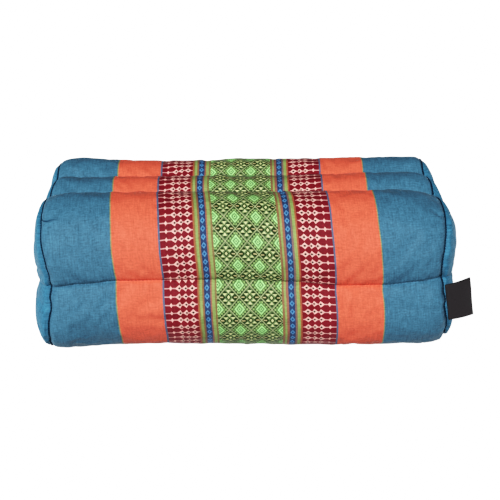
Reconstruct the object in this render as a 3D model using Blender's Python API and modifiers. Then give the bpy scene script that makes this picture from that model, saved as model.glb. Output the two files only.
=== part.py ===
"""Rectangular zafu: a kapok-filled block cushion in a striped woven cover.

The cover is one cloth wrapped round the filling and sewn through along six channels,
so the section has four corner lobes and two middle lobes. A plain panel closes each end,
and a small folded tab is caught in the right front edge seam.

Frame: X along the cushion, front towards -Y, Z up, origin on the flat underside.
Tables are in millimetres; meshes are made in metres.
"""
import math

import bmesh
import bpy
import numpy as np

MM = 0.001

# Sewn channels in the section at mid length: y towards the back, z up.
FRONT_CHANNEL = (-81.6, 61.3)
TOP_CHANNEL_Y = 23.7
TOP_CHANNEL_Z = 108.5
UNDER_CHANNEL_Z = 4.8
FLOOR_Z = 0.0

# Each lobe is drawn with quarter ellipses round its own centre (front half of the section).
LOBE_COLUMNS = ("centre_y", "centre_z", "half_out", "half_in", "half_up", "half_down")
LOBE_TABLE = {
    "corner_top": (-47.4, 79.9, 39.6, 32.4, 42.9, 39.6),
    "middle_top": (0.0, 88.9, 29.4, 29.4, 33.0, 33.0),
    "corner_under": (-52.1, 38.1, 34.2, 53.0, 46.5, 39.3),
    "middle_under": (0.0, 33.3, 41.6, 41.6, 34.8, 34.8),
}
CORNER_STEPS = 15
MIDDLE_STEPS = 8

# Unevenness of the filling along the length: t is -1 at the left end and 1 at the right,
# then the rise of the front channel and of the front, middle and back crests. The under
# lobes take up the channel's rise close to it, so that they stay level where they rest.
CHANNEL_EASE = 5
WAVE_COLUMNS = ("t", "channel", "front", "middle", "back")
WAVE_TABLE = (
    (-1.00, -4.0, 1.5, 0.0, 3.3),
    (-0.85, -1.4, 1.2, -0.2, 2.5),
    (-0.65, 1.3, 1.0, 0.0, -0.2),
    (-0.40, 1.5, 0.7, 0.2, -1.3),
    (-0.20, 1.5, 0.4, 0.2, -0.9),
    (0.00, 0.8, 0.0, 0.0, 0.4),
    (0.20, -1.0, -0.3, -0.4, 1.0),
    (0.50, -4.9, 0.1, 0.3, 0.7),
    (0.70, -4.7, 0.6, 1.3, 0.7),
    (0.88, -2.3, 0.8, 1.6, 1.3),
    (1.00, -0.2, 0.5, 1.1, 2.6),
)

# End seams: distance from the middle, step out above the channel and in below it, drift
# towards the back, draw-in at the channel, and how far the end bulges above and below it.
END_COLUMNS = ("side", "half_length", "lean", "drift", "draw_in", "bulge_top", "bulge_under")
END_TABLE = {
    "left": (-1.0, 154.4, 0.2, -1.9, 5.8, 9.4, 12.0),
    "right": (1.0, 156.5, -2.2, -1.4, 2.9, 12.7, 11.8),
}
LEAN_REACH = 17.7
DRAW_IN_REACH = 26.0
MID_HEIGHT = 61.0
HALF_DEPTH = 86.0

# Sections stand at these distances from each end seam, closest where the cloth rolls in.
SECTION_DISTANCES = (0.0, 1.5, 4.0, 7.5, 19.0, 29.0, 42.0, 56.0, 70.0, 84.0, 98.0, 112.0,
                     126.0, 140.0)
ROLL_LENGTH = 19.0
ROLL_SHRINK = 0.058

# End rings run from the seam (1) to the middle (0), where they close up.
END_RINGS = (1.0, 0.96, 0.88, 0.75, 0.57, 0.36, 0.17, 0.0)
DOME_POWER = 3.0
# The inner walls pull the end in between its six lobes.
WALL_PULL = 4.0
PILLOW_START = 0.4
VALLEY_POWER = 4.0
WELD_DISTANCE = 0.00001
PANEL_GAP = 0.45
PANEL_THICKNESS = 1.8

TAB_REACH = 20.5
TAB_HEIGHT = 30.0
TAB_THICKNESS = 1.4
TAB_HEIGHT_UP = 41.4
TAB_CLEAR = 0.35
TAB_SEAM_STEP = 1.5
TAB_BACKWARD = math.radians(20.0)
TAB_UPWARD = math.radians(9.0)
TAB_BOW = 1.2

COVER_COLOUR = (0.09, 0.23, 0.34, 1.0)
PANEL_COLOUR = (0.07, 0.27, 0.40, 1.0)
TAB_COLOUR = (0.012, 0.012, 0.013, 1.0)


def smooth_lookup(table, columns, t):
    """Read one row of a table at t, eased between its rows."""
    grid = np.array(table)
    stations = grid[:, 0]
    right = int(np.clip(np.searchsorted(stations, t), 1, len(stations) - 1))
    share = (t - stations[right - 1]) / (stations[right] - stations[right - 1])
    share = float(np.clip(share, 0.0, 1.0))
    share = share * share * (3.0 - 2.0 * share)
    row = grid[right - 1] * (1.0 - share) + grid[right] * share
    return dict(zip(columns, row))


def lobe_point(lobe, angle):
    """A point on a lobe's quarter ellipses; angle 0 is towards the back, 90 is up."""
    y_part = math.cos(angle)
    z_part = math.sin(angle)
    half_y = lobe["half_in"] if y_part > 0.0 else lobe["half_out"]
    half_z = lobe["half_up"] if z_part > 0.0 else lobe["half_down"]
    return lobe["centre_y"] + half_y * y_part, lobe["centre_z"] + half_z * z_part


def lobe_angle(lobe, point):
    """The angle at which a lobe's ellipse faces a point."""
    y_off = point[0] - lobe["centre_y"]
    z_off = point[1] - lobe["centre_z"]
    half_y = lobe["half_in"] if y_off > 0.0 else lobe["half_out"]
    half_z = lobe["half_up"] if z_off > 0.0 else lobe["half_down"]
    return math.atan2(z_off / half_z, y_off / half_y)


def lobe_arc(lobe, start, end, steps):
    """Points along a lobe from one channel up to the next one, clockwise seen from the right.

    The ellipse is eased in and out so that it meets both channels exactly.
    """
    first = lobe_angle(lobe, start)
    last = lobe_angle(lobe, end)
    if first < last:
        first += 2.0 * math.pi
    first_off = np.subtract(start, lobe_point(lobe, first))
    last_off = np.subtract(end, lobe_point(lobe, last))
    points = []
    for step in range(steps):
        share = step / steps
        on_arc = np.array(lobe_point(lobe, first + (last - first) * share))
        points.append(on_arc + first_off * (1.0 - share) ** 3 + last_off * share ** 3)
    return points


def mirrored(points):
    """The same points on the back half, in the order that keeps the walk going round."""
    return [np.array((-y, z)) for y, z in points]


def section(t):
    """The closed section at t, from the front channel up, over, down the back and under."""
    wave = smooth_lookup(WAVE_TABLE, WAVE_COLUMNS, t)
    lobes = {name: dict(zip(LOBE_COLUMNS, row)) for name, row in LOBE_TABLE.items()}
    corner_front = dict(lobes["corner_top"])
    corner_front["half_up"] += wave["front"]
    corner_back = dict(lobes["corner_top"])
    corner_back["half_up"] += wave["back"]
    middle_top = dict(lobes["middle_top"])
    middle_top["half_up"] += wave["middle"]
    front = np.array((FRONT_CHANNEL[0], FRONT_CHANNEL[1] + wave["channel"]))
    back = np.array((-FRONT_CHANNEL[0], FRONT_CHANNEL[1]))
    top_front = np.array((-TOP_CHANNEL_Y, TOP_CHANNEL_Z))
    top_back = np.array((TOP_CHANNEL_Y, TOP_CHANNEL_Z))
    under_front = np.array((-TOP_CHANNEL_Y, UNDER_CHANNEL_Z))
    under_back = np.array((TOP_CHANNEL_Y, UNDER_CHANNEL_Z))

    # The back lobes are drawn as front lobes, walked the other way and mirrored.
    back_mirror = np.array((-back[0], back[1]))
    back_top = lobe_arc(corner_back, back_mirror, top_front, CORNER_STEPS) + [top_front]
    back_under = lobe_arc(lobes["corner_under"], under_front, back_mirror, CORNER_STEPS)
    back_under.append(back_mirror)

    walk = lobe_arc(corner_front, front, top_front, CORNER_STEPS)
    walk += lobe_arc(middle_top, top_front, top_back, MIDDLE_STEPS)
    walk += mirrored(back_top[::-1])[:-1]
    walk += mirrored(back_under[::-1])[:-1]
    walk += lobe_arc(lobes["middle_under"], under_back, under_front, MIDDLE_STEPS)
    level = np.array(FRONT_CHANNEL)
    for step, (y, z) in enumerate(lobe_arc(lobes["corner_under"], under_front, level,
                                           CORNER_STEPS)):
        rise = wave["channel"] * (step / CORNER_STEPS) ** CHANNEL_EASE
        walk.append(np.array((y, z + rise)))
    points = np.array(walk)
    points[:, 1] = np.maximum(points[:, 1], FLOOR_Z)
    return points


def seam_x(end, y, z):
    """Where the end seam lies along X at a point of the section."""
    height = z - FRONT_CHANNEL[1]
    reach = end["half_length"] + end["lean"] * math.tanh(height / LEAN_REACH)
    reach += end["drift"] * y / HALF_DEPTH
    reach -= end["draw_in"] * math.exp(-(height / DRAW_IN_REACH) ** 2)
    return end["side"] * reach


def rolled(points, distance):
    """A section drawn in as the cloth rolls over towards the end seam."""
    inward = 1.0 - min(distance, ROLL_LENGTH) / ROLL_LENGTH
    shrink = ROLL_SHRINK * (1.0 - math.sqrt(1.0 - inward * inward))
    centre = np.array((0.0, MID_HEIGHT))
    return centre + (points - centre) * (1.0 - shrink)


def cover_rings(ends):
    """Rings of 3-D points along the cushion, from the left end seam to the right one."""
    mean_half = 0.5 * (ends["left"]["half_length"] + ends["right"]["half_length"])
    left_side = [(-(1.0 - d / mean_half), d) for d in SECTION_DISTANCES]
    stations = left_side + [(0.0, mean_half)] + [(-t, d) for t, d in reversed(left_side)]
    rings = []
    for t, distance in stations:
        ring = []
        for y, z in rolled(section(t), distance):
            left_x = seam_x(ends["left"], y, z)
            right_x = seam_x(ends["right"], y, z)
            ring.append((left_x + (right_x - left_x) * 0.5 * (t + 1.0), y, z))
        rings.append(np.array(ring))
    return rings


def end_targets():
    """Where each section point runs to in the middle of an end, and its share of its lobe.

    The corner lobes run to the crossings of the inner walls, the middle lobes to the line
    between them. A share is 0 and 1 at the channels and 0.5 on top of the lobe.
    """
    corner = [step / CORNER_STEPS for step in range(CORNER_STEPS)]
    middle = [step / MIDDLE_STEPS for step in range(MIDDLE_STEPS)]
    front = -TOP_CHANNEL_Y
    back = TOP_CHANNEL_Y
    walk = [(front, share) for share in corner]
    walk += [(front + (back - front) * share, share) for share in middle]
    walk += [(back, share) for share in corner + corner]
    walk += [(back + (front - back) * share, share) for share in middle]
    walk += [(front, share) for share in corner]
    return np.array(walk)


def dome_rings(end, rim, shift):
    """Rings from the end seam inwards, bulged out along X with a pillow for each lobe."""
    targets = end_targets()
    middle = np.column_stack((np.full(len(rim), end["side"] * end["half_length"]),
                              targets[:, 0], np.full(len(rim), MID_HEIGHT)))
    across = np.sqrt(4.0 * targets[:, 1] * (1.0 - targets[:, 1]))
    mean_bulge = 0.5 * (end["bulge_top"] + end["bulge_under"])
    rings = []
    for size in END_RINGS:
        ring = middle + (rim - middle) * size
        height = np.clip((ring[:, 2] - MID_HEIGHT) / MID_HEIGHT, -1.0, 1.0)
        lopsided = (end["bulge_top"] - mean_bulge) * np.sign(height) * np.sqrt(np.abs(height))
        dome = (mean_bulge + lopsided) * (1.0 - size ** DOME_POWER)
        pillow = across * min(1.0, size / PILLOW_START)
        valley = WALL_PULL * (1.0 - pillow) * (1.0 - size ** VALLEY_POWER)
        ring[:, 0] += end["side"] * (dome - valley + shift)
        rings.append(ring)
    return rings


def add_band(bm, lower, upper):
    """A closed band of faces between two rings of vertices."""
    count = len(lower)
    for index in range(count):
        after = (index + 1) % count
        bm.faces.new((lower[index], lower[after], upper[after], upper[index]))


def ring_vertices(bm, points):
    return [bm.verts.new(point * MM) for point in points]


def cloth_material(name, colour, roughness):
    material = bpy.data.materials.new(name)
    material.use_nodes = True
    shader = material.node_tree.nodes["Principled BSDF"]
    shader.inputs["Base Color"].default_value = colour
    shader.inputs["Roughness"].default_value = roughness
    shader.inputs["Metallic"].default_value = 0.0
    material.diffuse_color = colour
    return material


def finish(bm, name, material, collection):
    """Turn the bmesh into a smooth-shaded object with its faces pointing out."""
    bmesh.ops.recalc_face_normals(bm, faces=bm.faces)
    mesh = bpy.data.meshes.new(name)
    bm.to_mesh(mesh)
    bm.free()
    mesh.shade_smooth()
    mesh.set_sharp_from_angle(angle=math.radians(50.0))
    mesh.materials.append(material)
    piece = bpy.data.objects.new(name, mesh)
    collection.objects.link(piece)
    return piece


def add_dome(bm, loop, rings):
    """Bands from a loop of vertices through the inner rings of an end."""
    loops = [loop] + [ring_vertices(bm, ring) for ring in rings]
    for outer, nearer in zip(loops, loops[1:]):
        add_band(bm, outer, nearer)


def make_cushion_body(ends, rings, collection):
    """The filled cover: a loft through the sections, closed by a dome at each end."""
    bm = bmesh.new()
    loops = [ring_vertices(bm, ring) for ring in rings]
    for lower, upper in zip(loops, loops[1:]):
        add_band(bm, lower, upper)
    add_dome(bm, loops[0], dome_rings(ends["left"], rings[0], 0.0)[1:])
    add_dome(bm, loops[-1], dome_rings(ends["right"], rings[-1], 0.0)[1:])
    bmesh.ops.remove_doubles(bm, verts=bm.verts, dist=WELD_DISTANCE)
    material = cloth_material("cover_cloth", COVER_COLOUR, 0.75)
    return finish(bm, "cushion_body", material, collection)


def make_end_panel(side, end, rim, material, collection):
    """The plain end panel: a sheet that follows the dome, a seam's gap off the body."""
    bm = bmesh.new()
    edges = []
    for shift in (PANEL_GAP, PANEL_GAP + PANEL_THICKNESS):
        rings = dome_rings(end, rim, shift)
        edges.append(ring_vertices(bm, rings[0]))
        add_dome(bm, edges[-1], rings[1:])
    add_band(bm, edges[0], edges[1])
    bmesh.ops.remove_doubles(bm, verts=bm.verts, dist=WELD_DISTANCE)
    return finish(bm, "end_panel_" + side, material, collection)


def make_label_tab(end, rim, collection):
    """The small folded tab at the right front seam, standing out and a little back."""
    front = rim[rim[:, 1] < 0.0]
    seam = front[np.argmin(np.abs(front[:, 2] - TAB_HEIGHT_UP))]
    beside = np.abs(front[:, 2] - TAB_HEIGHT_UP) < 0.5 * TAB_HEIGHT
    foremost_y = front[beside, 1].min()
    bm = bmesh.new()
    bmesh.ops.create_grid(bm, x_segments=6, y_segments=6, size=0.5)
    for vert in bm.verts:
        along = vert.co.x + 0.5
        up = vert.co.y
        bow = TAB_BOW * math.sin(math.pi * along)
        vert.co = (along * TAB_REACH * MM, -bow * MM, up * TAB_HEIGHT * MM)
    tab = finish(bm, "label_tab", cloth_material("label_cloth", TAB_COLOUR, 0.5), collection)
    thickness = tab.modifiers.new("two_layers", "SOLIDIFY")
    thickness.thickness = TAB_THICKNESS * MM
    thickness.offset = 0.0
    tab.rotation_euler = (0.0, -TAB_UPWARD, TAB_BACKWARD)
    stand_off = TAB_CLEAR + 0.5 * TAB_THICKNESS / math.cos(TAB_BACKWARD)
    tab.location = ((seam[0] + end["side"] * TAB_SEAM_STEP) * MM,
                    (foremost_y - stand_off) * MM,
                    TAB_HEIGHT_UP * MM)
    return tab


def main():
    for leftover in list(bpy.data.objects):
        bpy.data.objects.remove(leftover, do_unlink=True)
    collection = bpy.data.collections.new("zafu")
    bpy.context.scene.collection.children.link(collection)

    ends = {side: dict(zip(END_COLUMNS, row)) for side, row in END_TABLE.items()}
    rings = cover_rings(ends)
    make_cushion_body(ends, rings, collection)
    panel_cloth = cloth_material("end_panel_cloth", PANEL_COLOUR, 0.8)
    make_end_panel("left", ends["left"], rings[0], panel_cloth, collection)
    make_end_panel("right", ends["right"], rings[-1], panel_cloth, collection)
    make_label_tab(ends["right"], rings[-1], collection)


main()
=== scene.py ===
"""Looks of the rectangular zafu: wrapped striped cover, end panels, seams and blank tab.

Tables are in millimetres; meshes are made in metres. The cloth's own coordinates are kept in
the UV map "cloth": u along the cushion, v round it from the front channel, both in metres.
"""
import math

import bmesh
import bpy
import numpy as np
from mathutils import Matrix, Vector


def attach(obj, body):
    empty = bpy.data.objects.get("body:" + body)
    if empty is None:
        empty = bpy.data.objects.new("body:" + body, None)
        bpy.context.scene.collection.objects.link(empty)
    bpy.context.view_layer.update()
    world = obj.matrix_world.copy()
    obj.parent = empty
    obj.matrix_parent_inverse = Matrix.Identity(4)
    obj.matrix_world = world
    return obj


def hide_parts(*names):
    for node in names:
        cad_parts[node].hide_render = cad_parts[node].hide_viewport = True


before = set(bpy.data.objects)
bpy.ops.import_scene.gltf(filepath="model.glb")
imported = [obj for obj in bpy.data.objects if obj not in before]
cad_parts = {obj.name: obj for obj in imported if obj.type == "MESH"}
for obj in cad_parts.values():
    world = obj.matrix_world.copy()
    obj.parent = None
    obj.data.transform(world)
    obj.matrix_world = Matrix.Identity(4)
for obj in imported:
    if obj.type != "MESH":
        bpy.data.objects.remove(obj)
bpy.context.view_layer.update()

MM = 0.001
# Lengths and differences below this count as nothing.
TINY = 1e-6
rng = np.random.default_rng(7)

# Form, from the same named sizes as the part: where the cloth is sewn through.
FRONT_CHANNEL = (-81.6, 61.3)
TOP_CHANNEL_Y = 23.7
TOP_CHANNEL_Z = 108.5
UNDER_CHANNEL_Z = 4.8
FLOOR_Z = 0.0
# The middle of each lobe of the section, and how far it reaches from there.
LOBE_COLUMNS = ("centre_y", "centre_z", "half_out", "half_in", "half_up", "half_down")
LOBE_TABLE = {
    "corner_top": (-47.4, 79.9, 39.6, 32.4, 42.9, 39.6),
    "middle_top": (0.0, 88.9, 29.4, 29.4, 33.0, 33.0),
    "corner_under": (-52.1, 38.1, 34.2, 53.0, 46.5, 39.3),
    "middle_under": (0.0, 33.3, 41.6, 41.6, 34.8, 34.8),
}
# A lobe is bent to meet its channels; the bend fades along it with this power.
OFFSET_POWER = 3
# Where the front channel rises, the lobe below it follows, and fades with this power.
CHANNEL_EASE = 5
# Along the cushion (t is -1 to 1): how far the front channel and the upper lobes rise.
WAVE_COLUMNS = ("t", "channel", "front", "middle", "back")
WAVE_TABLE = (
    (-1.00, -4.0, 1.5, 0.0, 3.3),
    (-0.85, -1.4, 1.2, -0.2, 2.5),
    (-0.65, 1.3, 1.0, 0.0, -0.2),
    (-0.40, 1.5, 0.7, 0.2, -1.3),
    (-0.20, 1.5, 0.4, 0.2, -0.9),
    (0.00, 0.8, 0.0, 0.0, 0.4),
    (0.20, -1.0, -0.3, -0.4, -0.3),
    (0.50, -4.9, 0.1, 0.3, -0.1),
    (0.70, -4.7, 0.6, 1.3, 0.0),
    (0.88, -2.3, 0.8, 1.6, 0.2),
    (1.00, -0.2, 0.5, 1.1, 1.6),
)
# Each end: its seam's half length, its lean over the height, its drift over the depth, how
# far it is drawn in at the front channel and below, how far its foot stands out, how far the
# end bulges above and below, and how far its valleys are pulled in.
END_COLUMNS = ("side", "half_length", "lean", "drift", "draw_in", "under_in", "foot_out",
               "bulge_top", "bulge_under", "wall_pull")
END_TABLE = {
    "left": (-1.0, 154.4, 0.2, -1.9, 5.8, 2.5, 0.0, 6.8, 11.6, 4.0),
    "right": (1.0, 156.5, -2.2, -1.4, 2.9, 0.8, 1.8, 11.6, 8.5, 0.6),
}
UNDER_REACH = 22.0
LEAN_REACH = 17.7
DRAW_IN_REACH = 26.0
MID_HEIGHT = 61.0
HALF_DEPTH = 86.0
# The foot of the front lobe: how high it goes, how soon it starts, and how far it comes
# forward along the cushion, as pairs of t and a distance.
FOOT_HEIGHT = 38.0
FOOT_EASE = 3.0
FOOT_FORWARD = ((-1.0, 2.5), (-0.91, 4.0), (-0.8, -0.5), (-0.65, -2.5), (-0.4, -2.5),
                (-0.2, -2.5), (0.0, 0.0), (0.2, 2.0), (0.5, 4.5), (0.7, 4.0), (0.88, 3.0),
                (1.0, 0.0))
# How the section is drawn in near an end seam.
ROLL_LENGTH = 19.0
ROLL_SHRINK = 0.058
# An end's bulge, the pillows on it that its lobes make, and the valleys between them.
DOME_POWER = 5.4
PILLOW_START = 0.4
VALLEY_POWER = 4.0
# The valley between the upper and lower bulge sags towards the middle of an end.
VALLEY_HEIGHT = 48.0
# The rings of an end as shares of its outline, and how far its middle is from its seam.
DOME_SIZES = (1.0, 0.992, 0.982, 0.968, 0.948, 0.92, 0.885, 0.845, 0.80, 0.75, 0.70, 0.645,
              0.59, 0.53, 0.47, 0.41, 0.35, 0.29, 0.23, 0.17, 0.11, 0.05, 0.0)
DOME_RADIUS = 62.0

# The six lobes round the section, from the front channel up, over, down the back and under.
LOBES = ("front_top", "middle_top", "back_top", "back_under", "middle_under", "front_under")
# Which way the cloth is pulled in at the channel that starts each lobe: (y, z).
CHANNEL_PULL = ((1.0, 0.0), (0.0, -1.0), (0.0, -1.0), (-1.0, 0.0), (0.0, 1.0), (0.0, 1.0))
LOBE_LENGTHS = (112.0, 54.0, 112.0, 111.0, 54.0, 111.0)
# Points round the section and along it: closest beside the channels and the end seams.
EDGE_STEPS = (0.0, 0.5, 1.1, 1.9, 3.1, 4.7)
EDGE_DISTANCES = (0.0, 0.6, 1.3, 2.2, 3.5, 5.2, 7.3, 9.8)
FINE_STEP = 1.8
COARSE_STEP = 3.2
COARSE_DISTANCES = (0.0, 2.5)
# The sharp groove that the thread pulls in along a channel and along an end seam.
GROOVE_DEPTH = 1.8
GROOVE_WIDTH = 1.3
RIM_DEPTH = 2.8
RIM_WIDTH = 2.0
# The end seams lie deepest up the front, and are almost flush over the top and the back: the
# share that they lose, between these places from front to back.
RIM_EASE = 0.75
RIM_EASE_SPAN = (-70.0, -30.0)
# Towards an end seam each upper lobe drops, and its seam lies further in: drop, reach, inset.
TAPER_COLUMNS = ("lobe", "end", "drop", "reach", "inset")
TAPER_TABLE = (
    ("front_top", "left", 4.5, 13.0, 0.0),
    ("front_top", "right", 9.5, 18.0, -3.0),
    ("middle_top", "left", -2.0, 12.0, 3.6),
    ("middle_top", "right", 0.5, 12.0, 1.5),
    ("back_top", "left", 1.0, 12.0, 0.0),
    ("back_top", "right", -0.8, 12.0, 0.0),
)
# The drop is largest past the middle of a lobe, and fades with this power of the distance.
TAPER_SKEW = 1.5
TAPER_POWER = 1.5
# Where each lobe's two sides run to across the middle of an end, from -1 at the front.
END_RUNS = {"front_top": (-1.0, -1.0), "middle_top": (-1.0, 1.0), "back_top": (1.0, 1.0),
            "back_under": (1.0, 1.0), "middle_under": (1.0, -1.0), "front_under": (-1.0, -1.0)}


def eased(share):
    """A share from 0 to 1 that starts and stops gently."""
    return share * share * (3.0 - 2.0 * share)


def smooth_lookup(table, columns, t):
    """Read one row of a table at t, eased between its rows."""
    grid = np.array(table)
    stations = grid[:, 0]
    right = int(np.clip(np.searchsorted(stations, t), 1, len(stations) - 1))
    share = (t - stations[right - 1]) / (stations[right] - stations[right - 1])
    share = eased(float(np.clip(share, 0.0, 1.0)))
    row = grid[right - 1] * (1.0 - share) + grid[right] * share
    return dict(zip(columns, row))


def lobe_points(lobe, angle):
    """Points (y, z) of a lobe's outline at the angles."""
    y_part = np.cos(angle)
    z_part = np.sin(angle)
    half_y = np.where(y_part > 0.0, lobe["half_in"], lobe["half_out"])
    half_z = np.where(z_part > 0.0, lobe["half_up"], lobe["half_down"])
    return np.stack((lobe["centre_y"] + half_y * y_part,
                     lobe["centre_z"] + half_z * z_part), axis=-1)


def lobe_angle(lobe, point):
    """The angle at which a lobe's outline passes nearest to a point."""
    y_off = point[0] - lobe["centre_y"]
    z_off = point[1] - lobe["centre_z"]
    half_y = lobe["half_in"] if y_off > 0.0 else lobe["half_out"]
    half_z = lobe["half_up"] if z_off > 0.0 else lobe["half_down"]
    return math.atan2(z_off / half_z, y_off / half_y)


def lobe_arc(lobe, start, end, shares):
    """Points at the given shares of the way along a lobe, which meets both channels."""
    first = lobe_angle(lobe, start)
    last = lobe_angle(lobe, end)
    if first < last:
        first += 2.0 * math.pi
    first_off = np.subtract(start, lobe_points(lobe, first))
    last_off = np.subtract(end, lobe_points(lobe, last))
    points = lobe_points(lobe, first + (last - first) * shares)
    points = points + first_off * (1.0 - shares)[:, None] ** OFFSET_POWER
    return points + last_off * shares[:, None] ** OFFSET_POWER


def section(t, shares):
    """The six lobes of the section at t, each as an array of (y, z)."""
    wave = smooth_lookup(WAVE_TABLE, WAVE_COLUMNS, t)
    lobes = {name: dict(zip(LOBE_COLUMNS, row)) for name, row in LOBE_TABLE.items()}
    corner_front, corner_back, middle_top = (
        {**lobes[name], "half_up": lobes[name]["half_up"] + wave[place]}
        for name, place in (("corner_top", "front"), ("corner_top", "back"),
                            ("middle_top", "middle")))
    level = FRONT_CHANNEL
    front = (FRONT_CHANNEL[0], FRONT_CHANNEL[1] + wave["channel"])
    top_front = (-TOP_CHANNEL_Y, TOP_CHANNEL_Z)
    top_back = (TOP_CHANNEL_Y, TOP_CHANNEL_Z)
    under_front = (-TOP_CHANNEL_Y, UNDER_CHANNEL_Z)
    under_back = (TOP_CHANNEL_Y, UNDER_CHANNEL_Z)
    flip = np.array((-1.0, 1.0))
    walk = {
        "front_top": lobe_arc(corner_front, front, top_front, shares["front_top"]),
        "middle_top": lobe_arc(middle_top, top_front, top_back, shares["middle_top"]),
        "back_top": flip * lobe_arc(corner_back, level, top_front, 1.0 - shares["back_top"]),
        "back_under": flip * lobe_arc(lobes["corner_under"], under_front, level,
                                      1.0 - shares["back_under"]),
        "middle_under": lobe_arc(lobes["middle_under"], under_back, under_front,
                                 shares["middle_under"]),
        "front_under": lobe_arc(lobes["corner_under"], under_front, level,
                                shares["front_under"]),
    }
    rise = wave["channel"] * shares["front_under"] ** CHANNEL_EASE
    walk["front_under"][:, 1] += rise
    low = np.clip(1.0 - walk["front_under"][:, 1] / FOOT_HEIGHT, 0.0, 1.0)
    low = low * np.clip(FOOT_EASE * shares["front_under"], 0.0, 1.0)
    walk["front_under"][:, 0] -= low * np.interp(t, *np.array(FOOT_FORWARD).T)
    for points in walk.values():
        points[:, 1] = np.maximum(points[:, 1], FLOOR_Z)
    return [walk[name] for name in LOBES]


def even_shares(step):
    """Shares at an even spacing along each lobe."""
    return {name: np.arange(round(length / step)) / round(length / step)
            for name, length in zip(LOBES, LOBE_LENGTHS)}


def seam_shares(step):
    """Shares that are closest beside the channels."""
    shares = {}
    for name, length in zip(LOBES, LOBE_LENGTHS):
        edge = np.array(EDGE_STEPS)
        count = round((length - 2.0 * edge[-1]) / step)
        middle = np.linspace(edge[-1], length - edge[-1], count + 1)[1:-1]
        places = np.concatenate((edge, middle, length - edge[:0:-1]))
        shares[name] = places / length
    return shares


def mean_half_length(ends):
    return 0.5 * (ends["left"]["half_length"] + ends["right"]["half_length"])


def seam_x(end, y, z):
    """Where the end seam lies along X at points of the section."""
    height = z - FRONT_CHANNEL[1]
    reach = end["half_length"] + end["lean"] * np.tanh(height / LEAN_REACH)
    reach = reach + end["drift"] * y / HALF_DEPTH
    reach = reach - end["draw_in"] * np.exp(-(height / DRAW_IN_REACH) ** 2)
    reach = reach - end["under_in"] * np.clip(-height / UNDER_REACH, 0.0, 1.0)
    reach = reach + end["foot_out"] * np.clip(1.0 - z / FOOT_HEIGHT, 0.0, 1.0)
    return end["side"] * reach


def rolled(points, distance, side):
    """A section drawn in near an end seam; the left end's underside stays down."""
    inward = 1.0 - min(distance, ROLL_LENGTH) / ROLL_LENGTH
    shrink = ROLL_SHRINK * (1.0 - math.sqrt(1.0 - inward * inward))
    if side == "left":
        shrink = shrink * np.clip(points[:, 1:] / MID_HEIGHT, 0.0, 1.0)
    centre = np.array((0.0, MID_HEIGHT))
    return centre + (points - centre) * (1.0 - shrink)


def taper_weights(shares):
    """For each upper lobe, how much of its taper each point of a section takes."""
    weights = {}
    for name in ("front_top", "middle_top", "back_top"):
        share = (1.0 - shares[name] if name == "back_top" else shares[name]) ** TAPER_SKEW
        bump = np.sin(math.pi * share) ** 2
        weights[name] = np.concatenate([bump if other == name else np.zeros(len(shares[other]))
                                        for other in LOBES])
    return weights


def tapered(points, along, distance, side, weights):
    """The section lowered at its upper lobes, and its place along X drawn in."""
    for row in TAPER_TABLE:
        taper = dict(zip(TAPER_COLUMNS, row))
        if taper["end"] != side:
            continue
        share = weights[taper["lobe"]] * math.exp(-(distance / taper["reach"]) ** TAPER_POWER)
        points[:, 1] -= taper["drop"] * share
        along -= np.sign(along) * taper["inset"] * share
    return points, along


def to_middle(points):
    """Unit vectors (y, z) from points of the section towards its middle."""
    inward = np.array((0.0, MID_HEIGHT)) - points
    return inward / np.linalg.norm(inward, axis=1, keepdims=True)


def rim_pull(points):
    """How far, and which way, each point of a section is pulled in beside an end seam."""
    ease = np.interp(points[:, :1], RIM_EASE_SPAN, (0.0, RIM_EASE))
    return to_middle(points) * RIM_DEPTH * (1.0 - ease)


def channel_grooves(shares):
    """How far, and which way, each point of a section is pulled in beside a channel."""
    pulls = []
    for number, (name, length) in enumerate(zip(LOBES, LOBE_LENGTHS)):
        before = shares[name][:, None] * length
        after = (1.0 - shares[name])[:, None] * length
        here = np.array(CHANNEL_PULL[number])
        following = np.array(CHANNEL_PULL[(number + 1) % len(LOBES)])
        pulls.append(here * np.exp(-(before / GROOVE_WIDTH) ** 2)
                     + following * np.exp(-(after / GROOVE_WIDTH) ** 2))
    return GROOVE_DEPTH * np.concatenate(pulls)


def end_targets(shares):
    """Where each section point runs to in the middle of an end, and its share of its lobe."""
    targets = []
    for name in LOBES:
        begin, stop = END_RUNS[name]
        place = TOP_CHANNEL_Y * (begin + (stop - begin) * shares[name])
        targets.append(np.stack((place, shares[name]), axis=-1))
    return np.concatenate(targets)


def dome_rings(end, rim, shares, sizes):
    """Rings from the end seam inwards, bulged out along X with a pillow for each lobe."""
    targets = end_targets(shares)
    middle = np.column_stack((np.full(len(rim), end["side"] * end["half_length"]),
                              targets[:, 0], np.full(len(rim), VALLEY_HEIGHT)))
    across = np.sqrt(4.0 * targets[:, 1] * (1.0 - targets[:, 1]))
    mean_bulge = 0.5 * (end["bulge_top"] + end["bulge_under"])
    rings = []
    for size in sizes:
        ring = middle + (rim - middle) * size
        height = np.clip((ring[:, 2] - MID_HEIGHT) / MID_HEIGHT, -1.0, 1.0)
        lopsided = (end["bulge_top"] - mean_bulge) * np.sign(height) * np.sqrt(np.abs(height))
        dome = (mean_bulge + lopsided) * (1.0 - size ** DOME_POWER)
        pillow = across * min(1.0, size / PILLOW_START)
        valley = end["wall_pull"] * (1.0 - pillow) * (1.0 - size ** VALLEY_POWER)
        ring[:, 0] += end["side"] * (dome - valley)
        rings.append(ring)
    return rings


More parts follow.
